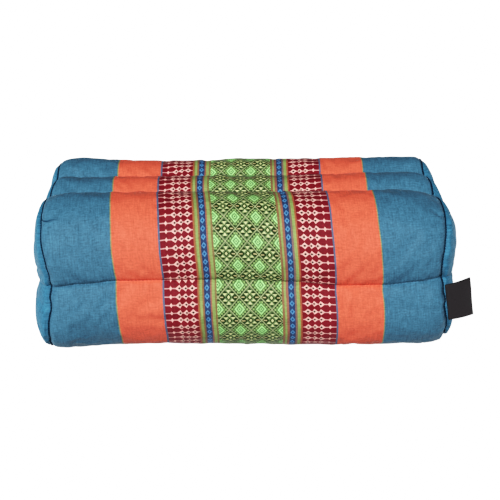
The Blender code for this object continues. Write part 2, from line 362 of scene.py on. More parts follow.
def whole_surface(ends, shares, distances, sizes, grooved):
    """The closed surface as rings: left end from its middle out, cover, right end inwards.

    Returns the rings and their places along the surface (0 and 1 are the end seams).
    """
    mean_half = mean_half_length(ends)
    left_side = [(-(1.0 - d / mean_half), d) for d in distances]
    stations = left_side + [(-t, d) for t, d in reversed(left_side)]
    grooves = channel_grooves(shares) if grooved else 0.0
    weights = taper_weights(shares)
    cover = []
    rims = []
    for t, distance in stations:
        side = "left" if t < 0.0 else "right"
        points = rolled(np.concatenate(section(t, shares)), distance, side)
        left_x = seam_x(ends["left"], points[:, 0], points[:, 1])
        right_x = seam_x(ends["right"], points[:, 0], points[:, 1])
        along = left_x + (right_x - left_x) * 0.5 * (t + 1.0)
        points, along = tapered(points, along, distance, side, weights)
        if distance == 0.0:
            rims.append(np.column_stack((along, points)))
        points = points + grooves
        if grooved:
            points = points + rim_pull(points) * math.exp(-(distance / RIM_WIDTH) ** 2)
        cover.append(np.column_stack((along, points)))
    domes = {}
    for side, rim in zip(("left", "right"), rims):
        rings = dome_rings(ends[side], rim, shares, sizes)
        if grooved:
            pull = rim_pull(rim[:, 1:])
            for ring, size in zip(rings, sizes):
                away = (1.0 - size) * DOME_RADIUS
                ring[:, 1:] += pull * math.exp(-(away / RIM_WIDTH) ** 2)
                ring[:, 1:] += grooves * max(0.0, 1.0 - away / RIM_WIDTH)
        domes[side] = rings
    places = [-(1.0 - s) for s in reversed(sizes)][:-1]
    places += [0.5 * (t + 1.0) for t, _ in stations]
    places += [2.0 - s for s in sizes][1:]
    rings = domes["left"][::-1][:-1] + cover + domes["right"][1:]
    return np.array(rings), np.array(places)


def station_distances(edge, step, half):
    """Distances from an end seam to the middle, closest beside the seam."""
    edge = np.array(edge)
    count = round((half - edge[-1]) / step)
    return tuple(np.concatenate((edge, np.linspace(edge[-1], half - 0.5 * step, count)[1:])))


# The cloth's own coordinates: how much more of it each lobe takes in than its length.
TAKE_IN = {"front_top": 0.0, "middle_top": 2.8, "back_top": 8.0, "back_under": 10.8,
           "middle_under": -5.6, "front_under": -1.3}
# Up the front the woven rows keep their pitch, however tall a lobe is.
FRONT_LOBES = ("front_top", "front_under")
# These are measured backwards from the front channel.
BACKWARD_LOBES = ("middle_under", "front_under")
# The stripes drift sideways round the cushion, because the cloth was wrapped a little askew:
# for each height v on the cloth, the drift at three places along it.
DRIFT_PLACES = (-101.0, 2.0, 104.0)
DRIFT_TABLE = (
    (-49.0, 5.0, 3.3, 4.5),
    (-36.0, 3.6, 2.8, 4.5),
    (-25.0, 3.1, 2.4, 4.1),
    (-15.0, 2.5, 2.1, 3.4),
    (-6.0, 2.6, 1.8, 2.4),
    (4.0, 2.7, 2.0, 2.7),
    (10.0, 1.9, 1.7, 2.3),
    (16.0, 1.4, 1.4, 1.8),
    (25.0, 0.3, 0.7, 1.0),
    (35.0, 0.0, 0.0, 0.0),
    (49.0, -0.4, -0.7, -1.6),
    (59.0, -0.8, -1.2, -2.2),
    (73.0, -1.5, -2.2, -3.1),
    (86.0, -2.0, -3.3, -3.5),
    (112.0, -2.8, -3.8, -4.2),
    (134.0, -3.1, -3.7, -4.3),
    (180.0, -2.3, -2.7, -2.6),
    (210.0, -2.1, -2.1, -2.2),
)


def lobe_bounds(shares):
    """The column number at which each lobe starts, and the number of columns."""
    counts = [len(shares[name]) for name in LOBES]
    return np.concatenate(((0,), np.cumsum(counts)))


def girth(shares):
    """Distance round the section at mid length, from the front channel, for each column."""
    points = np.concatenate(section(0.0, shares))
    steps = np.linalg.norm(np.diff(np.vstack((points, points[:1])), axis=0), axis=1)
    return np.concatenate(((0.0,), np.cumsum(steps)))


def drift(along, v):
    """How far sideways the cloth lies at places along the cushion and round it."""
    table = np.array(DRIFT_TABLE)
    at_left, at_middle, at_right = (np.interp(v, table[:, 0], column)
                                    for column in table[:, 1:].T)
    left, middle, right = DRIFT_PLACES
    share_left = np.clip((middle - along) / (middle - left), 0.0, 1.0)
    share_right = np.clip((along - middle) / (right - middle), 0.0, 1.0)
    return (at_middle + (at_left - at_middle) * share_left
            + (at_right - at_middle) * share_right)


def cloth_corners(rings, shares):
    """UV of each face corner of a ring grid, by ring, column and side (start or end)."""
    bounds = lobe_bounds(shares)
    distance = girth(shares)
    whole = distance[-1]
    steps = np.linalg.norm(np.roll(rings, -1, axis=1) - rings, axis=2)
    # The puckers beside the end seams make a ring longer, but don't stretch the cloth.
    edge = len(EDGE_DISTANCES)
    steps[:edge] = steps[edge]
    steps[-edge:] = steps[-edge - 1]
    corner_uv = np.zeros((len(rings), bounds[-1], 2, 2))
    for number, name in enumerate(LOBES):
        columns = np.arange(bounds[number], bounds[number + 1])
        turn = whole if name in BACKWARD_LOBES else 0.0
        for side in (0, 1):
            v = distance[columns + side] - turn
            along = rings[:, (columns + side) % bounds[-1], 0]
            corner_uv[:, columns, side, 0] = along - drift(along, v[None, :])
            stretch = np.ones((len(rings), 1))
            if name in FRONT_LOBES:
                lengths = steps[:, columns].sum(axis=1, keepdims=True)
                stretch = lengths / lengths[len(rings) // 2]
            corner_uv[:, columns, side, 1] = v * stretch + TAKE_IN[name]
    return corner_uv * MM


# Points closer than this are one vertex.
WELD = 0.005


def grid_mesh(name, rings, corner_uv=None, closing=None):
    """A smooth mesh from rings of points; coincident points are one vertex.

    closing is a second grid, joined to the first along its first ring, as a sheet's back.
    """
    grids = [rings] if closing is None else [rings, closing]
    points = np.concatenate([grid.reshape(-1, 3) for grid in grids])
    _, first, inverse = np.unique(np.round(points / WELD).astype(int), axis=0,
                                  return_index=True, return_inverse=True)
    inverse = inverse.reshape(-1)
    faces = []
    corners = []
    start = 0
    for layer, grid in enumerate(grids):
        count, around, _ = grid.shape
        ids = inverse[start:start + count * around].reshape(count, around)
        start += count * around
        for i in range(count - 1):
            for j in range(around):
                after = (j + 1) % around
                face = [ids[i, j], ids[i, after], ids[i + 1, after], ids[i + 1, j]]
                marks = [(i, j, 0), (i, j, 1), (i + 1, j, 1), (i + 1, j, 0)]
                if layer == 1:
                    face.reverse()
                    marks.reverse()
                kept = [k for k in range(4) if face[k] != face[k - 1]]
                if len(kept) >= 3 and len({face[k] for k in kept}) == len(kept):
                    faces.append([int(face[k]) for k in kept])
                    corners.append([marks[k] for k in kept])
    if closing is not None:
        around = rings.shape[1]
        shift = rings.shape[0] * around
        for j in range(around):
            after = (j + 1) % around
            faces.append([int(inverse[j]), int(inverse[shift + j]),
                          int(inverse[shift + after]), int(inverse[after])])
            corners.append([(0, j, 0), (0, j, 0), (0, j, 1), (0, j, 1)])
    mesh = bpy.data.meshes.new(name)
    mesh.from_pydata([tuple(p * MM) for p in points[first]], [], faces)
    if corner_uv is not None:
        layer = mesh.uv_layers.new(name="cloth")
        flat = np.array([corner_uv[mark] for face in corners for mark in face])
        layer.data.foreach_set("uv", flat.reshape(-1).astype(np.float32))
    bm = bmesh.new()
    bm.from_mesh(mesh)
    bmesh.ops.recalc_face_normals(bm, faces=bm.faces)
    bm.to_mesh(mesh)
    bm.free()
    mesh.shade_smooth()
    return mesh, inverse


def add_piece(name, mesh, material=None):
    """A new object in the scene; a mesh that has its material already keeps it."""
    piece = bpy.data.objects.new(name, mesh)
    bpy.context.scene.collection.objects.link(piece)
    if material is not None:
        mesh.materials.clear()
        mesh.materials.append(material)
    return piece


# The cloth gives way a little under the filling's pressure.
SIM_FRAMES = 20
SIM_CLOTH = {
    "vertex_group_mass": "seams",
    "quality": 5,
    "mass": 0.3,
    "tension_stiffness": 15.0,
    "compression_stiffness": 15.0,
    "shear_stiffness": 8.0,
    "bending_stiffness": 0.4,
    "shrink_min": -0.03,
    "use_pressure": True,
    "uniform_pressure_force": 4.0,
}
# Only the wrinkles are kept: what is left once the movement is smoothed this many times.
SMOOTHING = 5
SIM_CAP = 0.6
# The wrinkles fade out this near to the end seams.
SIM_FADE = 12.0


def simulate(rings, places, shares):
    """Blow the cover up a little with its seams held, and return how far each point moved."""
    mesh, inverse = grid_mesh("sim", rings)
    cover = add_piece("sim", mesh)
    around = rings.shape[1]
    on_channel = np.isin(np.arange(around), lobe_bounds(shares)[:-1])
    on_cover = (places >= 0.0) & (places <= 1.0)
    on_rim = np.minimum(np.abs(places), np.abs(places - 1.0)) < TINY
    seams = (on_cover[:, None] & on_channel[None, :]) | on_rim[:, None]
    held = set(inverse[seams.reshape(-1)].tolist())
    group = cover.vertex_groups.new(name="seams")
    group.add(list(held), 1.0, "REPLACE")
    modifier = cover.modifiers.new("filling", "CLOTH")
    for key, value in SIM_CLOTH.items():
        setattr(modifier.settings, key, value)
    modifier.settings.effector_weights.gravity = 0.0
    modifier.collision_settings.use_collision = False
    modifier.collision_settings.use_self_collision = False
    scene = bpy.context.scene
    for number in range(1, SIM_FRAMES + 1):
        scene.frame_set(number)
    posed = cover.evaluated_get(bpy.context.evaluated_depsgraph_get()).data
    after = np.zeros(len(posed.vertices) * 3)
    before = np.zeros(len(mesh.vertices) * 3)
    posed.vertices.foreach_get("co", after)
    mesh.vertices.foreach_get("co", before)
    moved = ((after - before).reshape(-1, 3) / MM)[inverse].reshape(rings.shape)
    scene.frame_set(1)
    bpy.data.objects.remove(cover, do_unlink=True)
    bpy.data.meshes.remove(mesh)
    return moved


def smoothed(values, passes):
    """A ring grid eased along and round; the first axis is open and the second closed."""
    for _ in range(passes):
        padded = np.concatenate((values[:1], values, values[-1:]))
        values = 0.25 * padded[:-2] + 0.5 * values + 0.25 * padded[2:]
        values = (0.25 * np.roll(values, 1, axis=1) + 0.5 * values
                  + 0.25 * np.roll(values, -1, axis=1))
    return values


def onto_fine(values, places, columns, fine_places, fine_columns):
    """A coarse ring grid read off at the places and columns of a fine one."""
    closed = np.concatenate((values, values[:, :1]), axis=1)
    by_place = np.stack([[np.interp(fine_places, places, closed[:, j, k])
                          for j in range(closed.shape[1])] for k in range(3)], axis=-1)
    by_place = by_place.transpose(1, 0, 2)
    return np.stack([[np.interp(fine_columns, columns, by_place[i, :, k])
                      for i in range(len(fine_places))] for k in range(3)], axis=-1)


def column_places(shares):
    """Each column's place round the section: the lobe's number and the share along it."""
    return np.concatenate([k + shares[name] for k, name in enumerate(LOBES)])


def grid_normals(rings):
    """Unit normals of a ring grid, all to the same side of it."""
    along = np.gradient(rings, axis=0)
    closed = np.concatenate((rings[:, -1:], rings, rings[:, :1]), axis=1)
    round_it = 0.5 * (closed[:, 2:] - closed[:, :-2])
    normal = np.cross(along, round_it)
    length = np.maximum(np.linalg.norm(normal, axis=2, keepdims=True), TINY)
    return normal / length


def wavy(places, spacing, closed_at=None):
    """Smooth random numbers from about -1 to 1 at the places, with waves of the spacing."""
    span = places.max() - places.min() if closed_at is None else closed_at
    count = max(4, round(span / spacing) + 2)
    knots = rng.uniform(-1.0, 1.0, count)
    at = (places - places.min()) / spacing
    if closed_at is not None:
        at = (places % closed_at) / closed_at * count
    low = np.floor(at).astype(int) % count
    share = eased(at - np.floor(at))
    return knots[low] * (1.0 - share) + knots[(low + 1) % count] * share


# Puckers beside the seams: their height, where they start and how far they reach, and the
# spacing and share of each set of waves.
RIM_PUCKER = 0.85
RIM_PUCKER_START = 1.6
RIM_PUCKER_REACH = 6.0
RIM_PUCKER_WAVES = ((4.2, 1.0), (8.0, 0.7))
CHANNEL_PUCKER = 0.28
CHANNEL_PUCKER_START = 1.5
CHANNEL_PUCKER_REACH = 6.0
CHANNEL_PUCKER_WAVES = ((7.0, 1.0), (12.0, 0.7))
CHANNEL_PUCKER_FADE = 6.0
# Lumps of the filling: spacing along, spacing round and share. Each row is laid on a few
# times with its spacings varied and its ridges bent, and fades this near to a seam.
LUMP = 0.5
LUMP_TABLE = ((34.0, 26.0, 1.0), (17.0, 15.0, 0.5))
LUMP_LAYERS = 3
LUMP_SPREAD = (0.8, 1.4)
LUMP_BEND = 2.0
LUMP_BEND_SPACING = 60.0
LUMP_FADE = 12.0
# How far an end seam wanders along the cushion, and its share of that above the channel.
RIM_WAVE = 0.8
RIM_WAVE_REACH = 2.5
RIM_WAVE_SPACINGS = (6.0, 7.0)
RIM_WAVE_ABOVE = 0.45
# Past this share of the way round, places are measured backwards from the front channel.
BACKWARD_FROM = 0.75
# Single creases and dents beside the end seams: place along and round, reach, depth. They
# start this far from the seam.
CREASE_START = 1.3
CREASE_COLUMNS = ("along", "v", "reach_along", "reach_round", "depth")
CREASE_TABLE = (
    (-150.0, 58.6, 7.0, 1.9, 0.8),
    (153.0, 64.0, 4.5, 2.2, 4.5),
    (-152.0, -3.5, 5.0, 2.6, 1.8),
    (151.0, -4.0, 5.0, 2.2, 1.2),
    (-152.0, 108.0, 6.0, 3.0, 1.6),
    (152.0, 108.0, 6.0, 3.0, 1.6),
)


def beside_seam(away, start, reach):
    """How strong a pucker is at a distance from its seam: none in the seam itself."""
    return np.exp(-away / reach) * (1.0 - np.exp(-(away / start) ** 2))


def detail(rings, places, shares, ends):
    """Small shapes on the cover and its ends.

    Returns their height along the surface's normal, and how far the end seams wander along
    the cushion. The random numbers are drawn in this order, so the order matters.
    """
    distance = girth(shares)
    whole = distance[-1]
    v = distance[:-1]
    signed = np.where(v > BACKWARD_FROM * whole, v - whole, v)
    along = rings[:, :, 0]
    half = mean_half_length(ends)
    height = np.zeros(rings.shape[:2])

    on_cover = (places >= 0.0) & (places <= 1.0)
    from_left = np.abs(places) * 2.0 * half
    from_right = np.abs(places - 1.0) * 2.0 * half
    beyond = np.where(places < 0.0, -places, np.where(places > 1.0, places - 1.0, 0.0))
    from_left = np.where(places < 0.0, beyond * DOME_RADIUS, from_left)
    from_right = np.where(places > 1.0, beyond * DOME_RADIUS, from_right)
    from_end = np.minimum(from_left, from_right)
    for away in (from_left, from_right):
        fade = beside_seam(away, RIM_PUCKER_START, RIM_PUCKER_REACH)
        for spacing, share in RIM_PUCKER_WAVES:
            ridges = wavy(v, spacing, whole)[None, :]
            height += RIM_PUCKER * share * ridges * fade[:, None]

    columns = column_places(shares)
    lobe = np.floor(columns).astype(int)
    lengths = np.array(LOBE_LENGTHS)[lobe]
    to_start = (columns - lobe) * lengths
    to_end = (1.0 - (columns - lobe)) * lengths
    mean_along = np.clip(along, -half, half).mean(axis=1)
    ramp = np.clip(from_end / CHANNEL_PUCKER_FADE, 0.0, 1.0) * on_cover
    for number in range(len(LOBES)):
        for away in (to_start, to_end):
            ridges = sum(share * wavy(mean_along, spacing)
                         for spacing, share in CHANNEL_PUCKER_WAVES)
            fade = beside_seam(away, CHANNEL_PUCKER_START, CHANNEL_PUCKER_REACH)
            height += (CHANNEL_PUCKER * np.where(lobe == number, fade, 0.0)[None, :]
                       * (ridges * ramp)[:, None])

    off_channels = np.minimum(1.0, np.minimum(to_start, to_end) / LUMP_FADE)[None, :]
    off_ends = np.minimum(1.0, from_end / LUMP_FADE)[:, None]
    for spacing_along, spacing_round, share in LUMP_TABLE:
        lumps = np.zeros(rings.shape[:2])
        for _ in range(LUMP_LAYERS):
            turn = rng.uniform(0.0, 2.0 * math.pi, 2)
            pitch = spacing_along * rng.uniform(*LUMP_SPREAD)
            bend = LUMP_BEND * wavy(v, LUMP_BEND_SPACING, whole)[None, :]
            ridges = np.sin(2.0 * math.pi * along / pitch + turn[0] + bend)
            pitch = spacing_round * rng.uniform(*LUMP_SPREAD)
            lumps += ridges * np.sin(2.0 * math.pi * v / pitch + turn[1])[None, :]
        height += LUMP * share * lumps / LUMP_LAYERS * off_channels * off_ends

    off_seam = np.where(on_cover, 1.0 - np.exp(-(from_end / CREASE_START) ** 2), 0.0)
    for row in CREASE_TABLE:
        crease = dict(zip(CREASE_COLUMNS, row))
        across = (along - crease["along"]) / crease["reach_along"]
        down = (signed[None, :] - crease["v"]) / crease["reach_round"]
        height -= crease["depth"] * np.exp(-across ** 2 - down ** 2) * off_seam[:, None]

    rim_shift = np.zeros(rings.shape[:2])
    for away, spacing in zip((from_left, from_right), RIM_WAVE_SPACINGS):
        wave = wavy(v, spacing, whole) * np.where(signed < 0.0, 1.0, RIM_WAVE_ABOVE)
        rim_shift += RIM_WAVE * wave[None, :] * np.exp(-(away / RIM_WAVE_REACH) ** 2)[:, None]
    return height, rim_shift


def close_middles(rings, before):
    """Bring points that met in the middle of an end together again."""
    for number in (0, -1):
        _, group = np.unique(np.round(before[number] / WELD).astype(int), axis=0,
                             return_inverse=True)
        group = group.reshape(-1)
        for one in range(group.max() + 1):
            same = group == one
            rings[number, same] = rings[number, same].mean(axis=0)


def build_surface(ends):
    """The finished ring grid of the whole cushion, with its places and shares."""
    half = mean_half_length(ends)
    shares = seam_shares(FINE_STEP)
    distances = station_distances(EDGE_DISTANCES, FINE_STEP, half)
    rings, places = whole_surface(ends, shares, distances, DOME_SIZES, True)
    plain = rings.copy()
    even = even_shares(COARSE_STEP)
    coarse_distances = station_distances(COARSE_DISTANCES, COARSE_STEP, half)
    coarse, coarse_places = whole_surface(ends, even, coarse_distances,
                                          DOME_SIZES[::2], False)
    moved = simulate(coarse, coarse_places, even)
    wrinkles = moved - smoothed(moved, SMOOTHING)
    size = np.linalg.norm(wrinkles, axis=2, keepdims=True)
    wrinkles *= np.minimum(1.0, SIM_CAP / np.maximum(size, TINY))
    coarse_columns = np.concatenate((column_places(even), (float(len(LOBES)),)))
    wrinkles = onto_fine(wrinkles, coarse_places, coarse_columns, places,
                         column_places(shares))
    off_seam = np.minimum(np.abs(places), np.abs(places - 1.0)) * 2.0 * half
    rings = rings + wrinkles * np.minimum(1.0, off_seam / SIM_FADE)[:, None, None]
    height, rim_shift = detail(rings, places, shares, ends)
    outward = grid_normals(rings)
    centre = np.array((0.0, 0.0, MID_HEIGHT))
    flip = np.sign(np.sum(outward * (rings - centre), axis=2, keepdims=True))
    rings = rings + outward * flip * height[:, :, None]
    rings[:, :, 0] += rim_shift
    rings[:, :, 2] = np.maximum(rings[:, :, 2], FLOOR_Z)
    close_middles(rings, plain)
    return rings, places, shares


# An end panel lies this far off the body, and grows thinner towards its seam.
PANEL_GAP = 0.45
PANEL_THICKNESS = 1.8
PANEL_EDGE = 0.7
PANEL_EDGE_REACH = 7.0


def panel_layers(rings, places, side):
    """The outer and inner layer of an end panel, over that end of the body."""
    if side < 0.0:
        end_rings = rings[places <= TINY][::-1]
        size = 1.0 + places[places <= TINY][::-1]
    else:
        end_rings = rings[places >= 1.0 - TINY]
        size = 2.0 - places[places >= 1.0 - TINY]
    away = (1.0 - size) * DOME_RADIUS
    thickness = PANEL_EDGE + (PANEL_THICKNESS - PANEL_EDGE) * (
        1.0 - np.exp(-away / PANEL_EDGE_REACH))
    straight_out = np.array((side, 0.0, 0.0))
    normal = grid_normals(end_rings)
    normal = normal * np.sign(normal[:, :, :1] * side + TINY)
    normal[-2:] = straight_out
    normal = 0.5 * normal + 0.5 * straight_out
    normal /= np.linalg.norm(normal, axis=2, keepdims=True)
    normal[0] = straight_out
    inner = end_rings + normal * PANEL_GAP
    outer = end_rings + normal * (PANEL_GAP + thickness)[:, None, None]
    inner[:, :, 2] = np.maximum(inner[:, :, 2], FLOOR_Z)
    outer[:, :, 2] = np.maximum(outer[:, :, 2], FLOOR_Z)
    return outer, inner


class Value:
    """A shader socket; each operator and method adds its Math node."""

    def __init__(self, shader, socket):
        self.shader = shader
        self.socket = socket

    def math(self, operation, *others):
        """This value first, then the others."""
        inputs = dict(enumerate((self, *others)))
        return self.shader.node("ShaderNodeMath", {"operation": operation}, inputs)

    def flipped(self, operation, other):
        """The other value first, then this one."""
        return self.shader.node("ShaderNodeMath", {"operation": operation},
                                {0: other, 1: self})

    def __add__(self, other):
        return self.math("ADD", other)

    __radd__ = __add__

    def __sub__(self, other):
        return self.math("SUBTRACT", other)

    def __rsub__(self, other):
        return self.flipped("SUBTRACT", other)

    def __mul__(self, other):
        return self.math("MULTIPLY", other)

    __rmul__ = __mul__

    def __truediv__(self, other):
        return self.math("DIVIDE", other)

    def __rtruediv__(self, other):
        return self.flipped("DIVIDE", other)

    def __gt__(self, other):
        return self.math("GREATER_THAN", other)

    def __lt__(self, other):
        return self.math("LESS_THAN", other)

    def __abs__(self):
        return self.math("ABSOLUTE")

    def fraction(self):
        return self.math("FRACT")

    def folded(self, half):
        """Folded to and fro, so that it runs from 0 to half and back again."""
        return self.math("PINGPONG", half)

    def sine(self):
        return self.math("SINE")

    def most(self, other):
        return self.math("MAXIMUM", other)


class Shader:
    """A material whose nodes are added by type, settings and inputs."""

    def __init__(self, name):
        self.material = bpy.data.materials.new(name)
        self.material.use_nodes = True
        self.tree = self.material.node_tree
        self.surface = self.tree.nodes["Principled BSDF"]

    def feed(self, socket, value):
        if isinstance(value, Value):
            self.tree.links.new(value.socket, socket)
        else:
            socket.default_value = value

    def node(self, kind, settings=None, inputs=None, output=0):
        made = self.tree.nodes.new(kind)
        for key, value in (settings or {}).items():
            setattr(made, key, value)
        for key, value in (inputs or {}).items():
            self.feed(made.inputs[key], value)
        return Value(self, made.outputs[output])

    def uv(self):
        """The cloth's own coordinates, in millimetres."""
        cloth = self.node("ShaderNodeUVMap", {"uv_map": "cloth"})
        split = self.tree.nodes.new("ShaderNodeSeparateXYZ")
        self.tree.links.new(cloth.socket, split.inputs[0])
        return tuple(Value(self, split.outputs[k]) * (1.0 / MM) for k in (0, 1))

    def vector(self, x, y, z=0.0):
        return self.node("ShaderNodeCombineXYZ", None, {0: x, 1: y, 2: z})

    def noise(self, vector, scale, depth=2.0):
        return self.node("ShaderNodeTexNoise", None,
                         {"Vector": vector, "Scale": scale, "Detail": depth})

    def uneven(self, x, y, scale, depth, swing):
        """Smooth noise round 0."""
        return (self.noise(self.vector(x, y), scale, depth) - 0.5) * swing

    def blend(self, factor, first, second, kind="MIX"):
        mix = self.tree.nodes.new("ShaderNodeMix")
        mix.data_type = "RGBA"
        mix.blend_type = kind
        for number, value in ((0, factor), (6, first), (7, second)):
            self.feed(mix.inputs[number], value)
        return Value(self, mix.outputs[2])

    def bump(self, height, depth, strength):
        return self.node("ShaderNodeBump", None,
                         {"Strength": strength, "Distance": depth, "Height": height})

    def finish(self, **inputs):
        """Sets the inputs of the surface; an underscore stands for a space."""
        for key, value in inputs.items():
            self.feed(self.surface.inputs[key.replace("_", " ")], value)
        return self.material


# The light shows pale cloth this much brighter than the cloth's own colour.
LIT = 1.8
# The picture's tones: how bright a surface is, and how bright it is shown.
TONE_TABLE = ((0.0, 0.0), (0.0153, 0.005), (0.0412, 0.02), (0.0792, 0.05), (0.13, 0.10),
              (0.25, 0.25), (0.384, 0.41), (0.66, 0.65), (1.098, 0.86), (1.6, 1.0))


def colour(red, green, blue):
    """The cloth's own linear colour, from the 0 to 255 values that it shows in full light.

    The values are made linear by the sRGB rule, and worked back through the tones.
    """
    bright, shown_as = np.array(TONE_TABLE).T
    values = []
    for part in (red, green, blue):
        share = part / 255.0
        shown = share / 12.92 if share <= 0.04045 else ((share + 0.055) / 1.055) ** 2.4
        values.append(float(np.interp(shown, shown_as, bright)) / LIT)
    return (*values, 1.0)


# The yarns of the woven cover, as they show in full light.
YARN = {
    "petrol": colour(74, 138, 171),
    "lime": colour(162, 172, 112),
    "orange": colour(243, 126, 90),
    "grey blue": colour(105, 125, 160),
    "dark red": colour(148, 22, 36),
    "amber": colour(196, 112, 74),
    "rust": colour(172, 126, 86),
    "leaf": colour(174, 196, 116),
    "rose": colour(182, 122, 98),
    "violet": colour(160, 124, 116),
    "navy": colour(46, 72, 124),
    "brown": colour(162, 136, 84),
    "moss": colour(122, 154, 94),
    "fern": colour(78, 134, 60),
    "mint": colour(212, 248, 186),
    "bright": colour(168, 218, 144),
    "mid green": colour(100, 156, 86),
    "dark": colour(30, 52, 14),
    "pale green": colour(190, 222, 142),
    "cream": colour(232, 238, 190),
    "blush": colour(222, 216, 170),
    "sand": colour(206, 212, 166),
    "pale": colour(252, 218, 212),
    "stem": colour(238, 192, 188),
    "hole": colour(40, 38, 30),
    "olive": colour(172, 146, 84),
    "sky": colour(106, 174, 216),
    "deep blue": colour(20, 84, 158),
    # Not a yarn: painted shade for the small pleats beside the end seams.
    "painted pleat shade": colour(10, 46, 76),
}
# Where each stripe starts along the cloth; the first starts on petrol.
STRIPE_TABLE = (
    (-101.8, "lime"),
    (-100.9, "orange"),
    (-65.3, "grey blue"),
    (-63.8, "dark red"),
    (-38.1, "amber"),
    (-37.1, "olive"),
    (-36.2, "leaf"),
    (-34.3, "rust"),
    (-32.8, "navy"),
    (-28.1, "rose"),
    (-26.8, "leaf"),
    (-24.5, "brown"),
    (-23.0, "moss"),
    (27.3, "rust"),
    (29.1, "leaf"),
    (30.6, "rose"),
    (32.5, "navy"),
    (37.1, "violet"),
    (38.7, "leaf"),
    (41.0, "amber"),
    (42.4, "dark red"),
    (68.6, "grey blue"),
    (70.0, "orange"),
    (105.2, "lime"),
    (106.0, "petrol"),
)

# The lattice: green diamonds and cream flowers in turn, with a sand line between them. Its
# edges, the place of one green diamond, and half the repeat along the cloth and round it.
LATTICE_EDGES = (-23.0, 27.3)
LATTICE_MIDDLE = (2.7, 34.0)
LATTICE_HALF = (8.3, 9.7)
# Diamonds round the middle of a green diamond, painted in this order: half their length
# along the cloth and round it.
DIAMOND_TABLE = (
    ("fern", 4.6, 5.7),
    ("mint", 4.05, 5.05),
    ("bright", 3.0, 3.8),
    ("mid green", 2.2, 2.8),
    ("mint", 1.5, 1.9),
    ("mid green", 0.7, 1.0),
)
# Between a green diamond (0) and the sand line (1) run two rows of small checks: from where
# to where, and how far they are shifted.
CHECK_TABLE = (("pale green", 0.65, 0.78, 0.5), ("dark", 0.77, 0.93, 0.0))
CHECKS_A_SIDE = 2.5
CHECK_WIDTH = 0.52
SAND_LINE = 0.04
# Diamonds round the middle of a flower: place, and half the length along and round.
FLOWER_DIAMONDS = (("dark", 5.0, 2.7, 2.9), ("dark", 0.0, 2.2, 2.9), ("cream", 0.0, 1.15, 1.6))
# Triangles round it: middle, tip, flat side and half width.
PETAL_TABLE = (
    ("cream", 2.8, 1.1, 3.05, 1.75),
    ("dark", 2.75, 5.3, 3.1, 2.1),
    ("cream", 0.0, 3.1, 5.6, 1.6),
    ("dark", 0.0, 7.9, 5.9, 1.5),
)
# The bar from a flower to the next: start, end and half width.
FLOWER_BAR = (4.2, 6.7, 0.45)

# Spears lie across the dark red bands: the middle between the bands, their outer edge from
# there, and how wide they are. Places in the tables are measured inwards from that edge.
SPEAR_MIDDLE = 2.4
SPEAR_EDGE = 66.2
SPEAR_BAND = 25.6
# The rows of spears and rings, for each band above and below the front channel: whether it
# is at the right, whether it is above, then its height, tilt and pitch.
ROW_TABLE = (
    (0.0, 1.0, 36.6, 0.07, 6.467),
    (0.0, 0.0, 38.14, 0.013, 6.467),
    (1.0, 1.0, 38.9, -0.085, 6.467),
    (1.0, 0.0, -5.35, -0.01, 6.82),
)
# The rows tilt from this far out, and change at the channel's place on the cloth.
ROW_START = 35.0
CHANNEL_V = -0.6
# The parts of a spear: place, reach outwards, reach inwards and half width.
SPEAR_TABLE = (
    ("pale", 4.9, 1.25, 1.25, 1.9),
    ("pale", 11.8, 3.3, 1.55, 2.65),
    ("pale", 16.8, 2.95, 1.45, 2.5),
    ("pale", 21.8, 2.85, 2.85, 2.6),
    ("hole", 11.8, 1.25, 1.1, 1.0),
    ("hole", 16.8, 1.2, 1.05, 1.0),
    ("hole", 21.8, 1.3, 1.3, 1.0),
)
STEM_HALF = 0.48
# Rings lie along the navy stripes, one to a row: half their length along and round.
RING_MIDDLE = 2.1
RING_PLACE = 32.7
RING_TABLE = (("sky", 1.95, 2.7), ("deep blue", 0.85, 1.15))

# Painted shade lines of small pleats: their seam end (along and v), length, half width, slope
# and darkness.
PLEAT_SHADE_TABLE = (
    (-157.0, 57.0, 18.0, 1.25, -0.02, 1.6),
    (-156.0, -4.0, 7.0, 1.4, 0.25, 1.0),
)

# A stripe's edge wanders with the yarn: how long it runs, how fine and how far.
EDGE_RUN = 0.001
EDGE_NOISE = 1.7
EDGE_WANDER = 0.35
# The petrol cloth beyond the coloured bands is woven of rougher yarn.
PLAIN_MIDDLE = 2.5
PLAIN_HALF = 103.4
COVER_ROUGHNESS = 1.15
PLAIN_ROUGHNESS = 0.45
PANEL_ROUGHNESS = 1.8
PANEL_BLUE = colour(62, 142, 178)
# Uneven yarn: how fine it is across, how long it runs, and how much it varies.
WARP_TABLE = ((1.5, 0.12, 0.30), (0.75, 0.09, 0.42))
WEFT_TABLE = ((1.5, 0.12, 0.30), (0.80, 0.22, 0.42))
# Uneven dye: scale, depth and how much it varies.
GRAIN = (0.75, 2.0, 0.45)
MOTTLE = (0.05, 3.0, 0.12)
# The relief of the weave: the threads' pitch along and round, and how high they stand.
THREAD_PITCH = (0.62, 0.55)
THREAD_HEIGHT = 0.25
SLUB_HEIGHT = 1.4
WEAVE_DEPTH = 0.00018
COVER_RELIEF = 0.55
PANEL_RELIEF = 0.5
COTTON = {"Sheen_Weight": 0.02, "Sheen_Roughness": 0.4, "Specular_IOR_Level": 0.15}


def in_diamond(along, round_it, half_along, half_round):
    """1 inside a diamond of that half length along and round, and 0 outside."""
    return (abs(along) / half_along + abs(round_it) / half_round) < 1.0


def in_triangle(along, round_it, middle, tip, base, half):
    """Inside a triangle that is half wide at its base and closes at its tip."""
    rise = (round_it - tip) / (base - tip)
    return (abs(along - middle) < rise * half) * (rise < 1.0)


